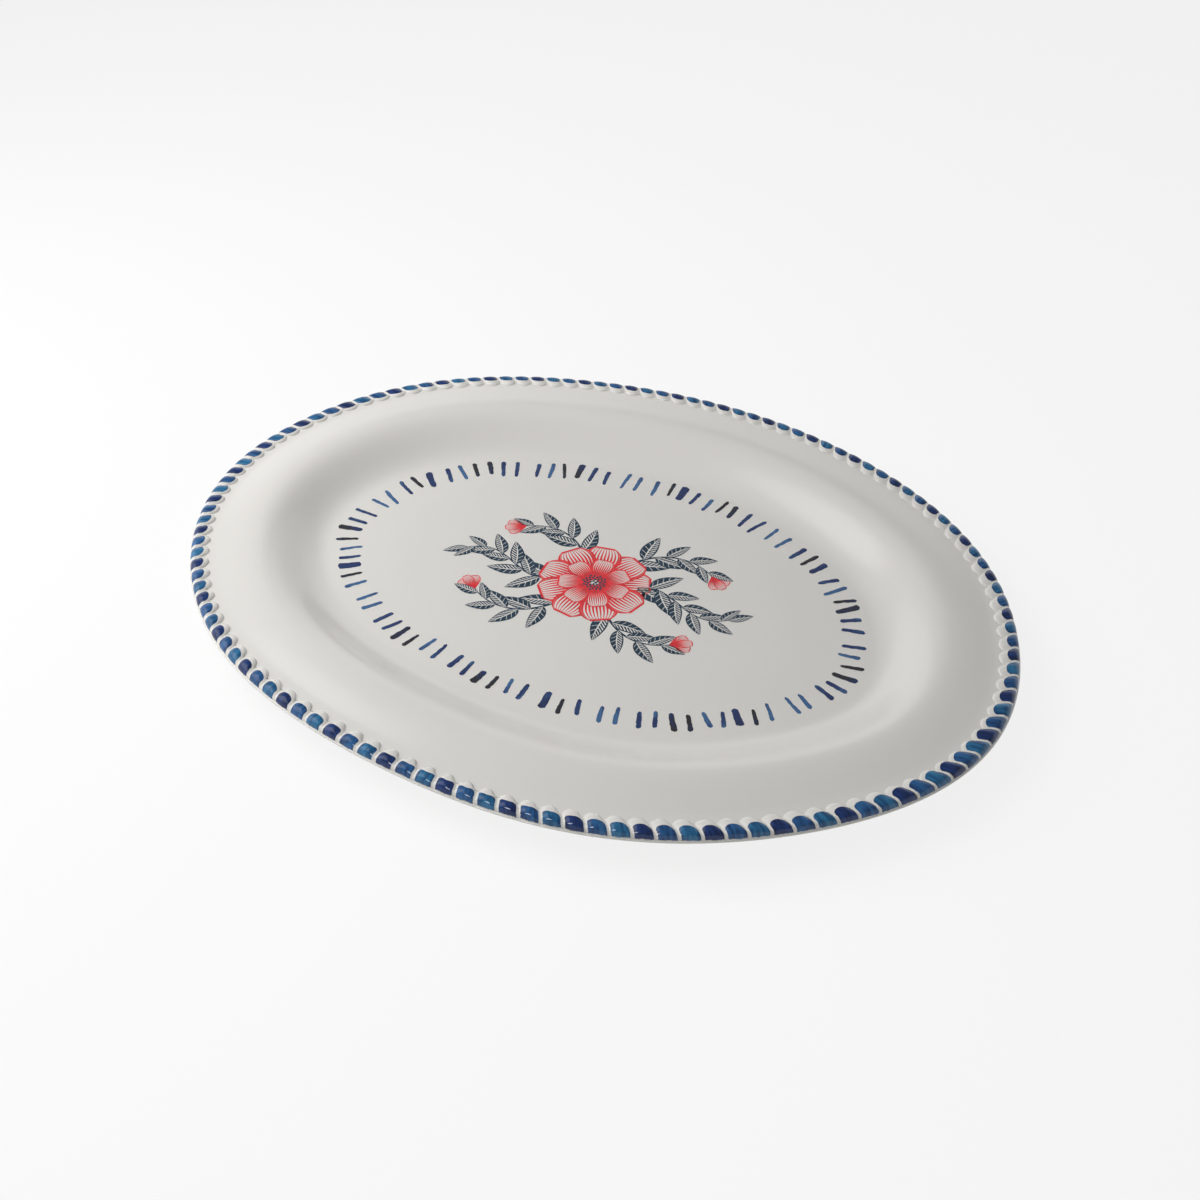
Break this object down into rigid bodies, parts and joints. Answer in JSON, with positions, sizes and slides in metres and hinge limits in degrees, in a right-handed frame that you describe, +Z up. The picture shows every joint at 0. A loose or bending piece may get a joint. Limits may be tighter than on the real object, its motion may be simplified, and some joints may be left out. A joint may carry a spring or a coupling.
{
  "type": "oval serving platter",
  "caption": "Oval glazed stoneware serving platter with a flat well, a soft wall, a broad rim, a moulded rope border and a standing foot ring.",
  "frame": {"origin": "on the table, under the middle of the oval", "axes": "+X along the platter's length, +Y across it, +Z up"},
  "size_m": [0.41, 0.318, 0.0226],
  "materials": {
    "white_glaze": "gloss white glaze with printed and brushed decoration on the floor",
    "painted_glaze": "gloss, blue brush strokes over white glaze",
    "bare_clay": "matte unglazed stoneware"
  },
  "bodies": {
    "root": {"platter_body": "white_glaze", "rope_edge": "painted_glaze", "foot_ring": "bare_clay"}
  },
  "joints": []
}
